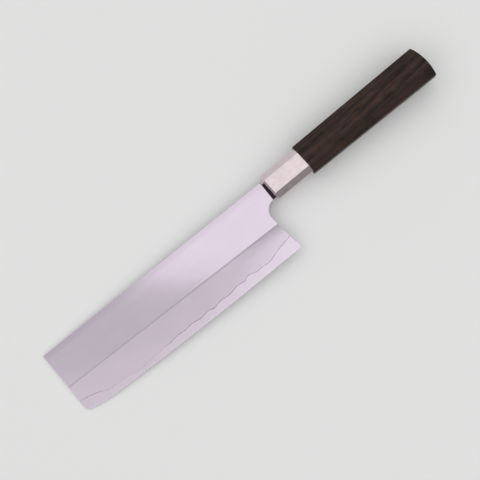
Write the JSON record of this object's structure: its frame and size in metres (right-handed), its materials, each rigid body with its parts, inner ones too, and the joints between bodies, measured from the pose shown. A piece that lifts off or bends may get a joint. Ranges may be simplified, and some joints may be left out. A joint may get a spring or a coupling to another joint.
{
  "type": "nakiri knife",
  "caption": "Double-bevelled vegetable knife with a tall square-ended laminated blade, a steel ferrule and an eight-sided wooden handle.",
  "frame": {"origin": "on the axis of the handle, in the plane of the ferrule's front face, half way through the thickness of the blade", "axes": "+X along the spine towards the butt, +Y from the cutting edge towards the spine, +Z out of the left side of the blade; the knife lies on its right side"},
  "size_m": [0.2955, 0.0533, 0.0208],
  "materials": {
    "core_steel": "satin, stone-ground, with a bright sharpened facet",
    "cladding_steel": "fine lengthwise satin",
    "ferrule_steel": "fine satin",
    "dark_wood": "open-grained dark hardwood, lightly oiled",
    "pale_wood": "plain softwood",
    "resin": "set black resin"
  },
  "bodies": {
    "root": {"core_steel": "core_steel", "cladding_left": "cladding_steel", "cladding_right": "cladding_steel", "ferrule": "ferrule_steel", "handle": "dark_wood", "tang_dowel": "pale_wood", "tang_resin": "resin"}
  },
  "joints": []
}
